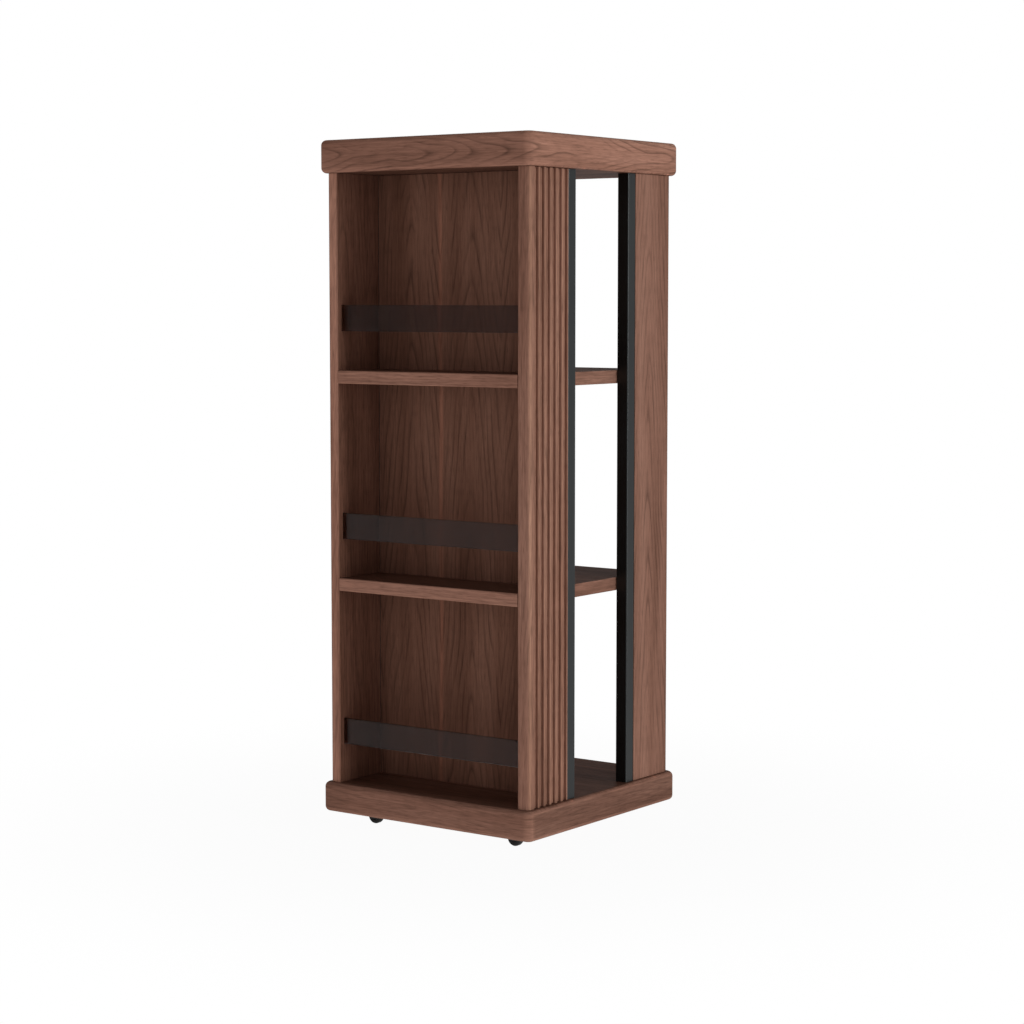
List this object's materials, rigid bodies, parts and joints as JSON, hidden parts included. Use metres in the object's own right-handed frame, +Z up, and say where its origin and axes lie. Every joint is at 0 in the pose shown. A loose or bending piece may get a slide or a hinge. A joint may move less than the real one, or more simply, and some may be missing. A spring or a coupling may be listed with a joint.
{
  "type": "mobile bookcase",
  "caption": "Square walnut tower bookcase on hidden swivel casters: guarded shallow front shelves, reeded side panels, and open rear shelves reached between black posts.",
  "frame": {"origin": "on the floor, under the middle of the base", "axes": "+Z up; the front with the guard strips faces -Y; +X to the right of someone facing it"},
  "size_m": [0.4, 0.4, 1.06],
  "materials": {
    "walnut": "walnut veneer on board, satin lacquer",
    "post_black": "satin black powder coat on steel tube",
    "smoked_acrylic": "dark smoked clear acrylic, polished",
    "caster_steel": "black coated pressed steel",
    "zinc": "zinc plated rivet steel",
    "nylon": "moulded black nylon",
    "rubber": "matte black rubber"
  },
  "bodies": {
    "case": {"top_slab": "walnut", "base_slab": "walnut", "divider_panel": "walnut", "front_side_panel_left": "walnut", "post_front_left": "post_black", "front_side_panel_right": "walnut", "post_front_right": "post_black", "rear_side_panel_left": "walnut", "post_rear_left": "post_black", "rear_side_panel_right": "walnut", "post_rear_right": "post_black", "front_shelf_1": "walnut", "rear_shelf_1": "walnut", "front_shelf_2": "walnut", "rear_shelf_2": "walnut", "guard_strip_1": "smoked_acrylic", "guard_strip_2": "smoked_acrylic", "guard_strip_3": "smoked_acrylic", "caster_front_left_plate": "caster_steel", "caster_front_left_race": "caster_steel", "caster_front_left_kingpin": "zinc", "caster_front_right_plate": "caster_steel", "caster_front_right_race": "caster_steel", "caster_front_right_kingpin": "zinc", "caster_rear_left_plate": "caster_steel", "caster_rear_left_race": "caster_steel", "caster_rear_left_kingpin": "zinc", "caster_rear_right_plate": "caster_steel", "caster_rear_right_race": "caster_steel", "caster_rear_right_kingpin": "zinc"},
    "caster_front_left_swivel": {"caster_front_left_fork": "caster_steel", "caster_front_left_axle": "caster_steel"},
    "caster_front_left_wheel": {"caster_front_left_hub": "nylon", "caster_front_left_tyre": "rubber"},
    "caster_front_right_swivel": {"caster_front_right_fork": "caster_steel", "caster_front_right_axle": "caster_steel"},
    "caster_front_right_wheel": {"caster_front_right_hub": "nylon", "caster_front_right_tyre": "rubber"},
    "caster_rear_left_swivel": {"caster_rear_left_fork": "caster_steel", "caster_rear_left_axle": "caster_steel"},
    "caster_rear_left_wheel": {"caster_rear_left_hub": "nylon", "caster_rear_left_tyre": "rubber"},
    "caster_rear_right_swivel": {"caster_rear_right_fork": "caster_steel", "caster_rear_right_axle": "caster_steel"},
    "caster_rear_right_wheel": {"caster_rear_right_hub": "nylon", "caster_rear_right_tyre": "rubber"}
  },
  "joints": [
    {"name": "caster_front_left_turn", "type": "hinge", "parent": "case", "child": "caster_front_left_swivel", "pos_m": [-0.135, -0.135, 0.0298], "axis": [0, 0, 1], "continuous": true},
    {"name": "caster_front_left_roll", "type": "hinge", "parent": "caster_front_left_swivel", "child": "caster_front_left_wheel", "pos_m": [-0.143, -0.135, 0.0125], "axis": [0, 1, 0], "continuous": true},
    {"name": "caster_front_right_turn", "type": "hinge", "parent": "case", "child": "caster_front_right_swivel", "pos_m": [0.135, -0.135, 0.0298], "axis": [0, 0, 1], "continuous": true},
    {"name": "caster_front_right_roll", "type": "hinge", "parent": "caster_front_right_swivel", "child": "caster_front_right_wheel", "pos_m": [0.127, -0.135, 0.0125], "axis": [0, 1, 0], "continuous": true},
    {"name": "caster_rear_left_turn", "type": "hinge", "parent": "case", "child": "caster_rear_left_swivel", "pos_m": [-0.135, 0.135, 0.0298], "axis": [0, 0, 1], "continuous": true},
    {"name": "caster_rear_left_roll", "type": "hinge", "parent": "caster_rear_left_swivel", "child": "caster_rear_left_wheel", "pos_m": [-0.143, 0.135, 0.0125], "axis": [0, 1, 0], "continuous": true},
    {"name": "caster_rear_right_turn", "type": "hinge", "parent": "case", "child": "caster_rear_right_swivel", "pos_m": [0.135, 0.135, 0.0298], "axis": [0, 0, 1], "continuous": true},
    {"name": "caster_rear_right_roll", "type": "hinge", "parent": "caster_rear_right_swivel", "child": "caster_rear_right_wheel", "pos_m": [0.127, 0.135, 0.0125], "axis": [0, 1, 0], "continuous": true}
  ]
}
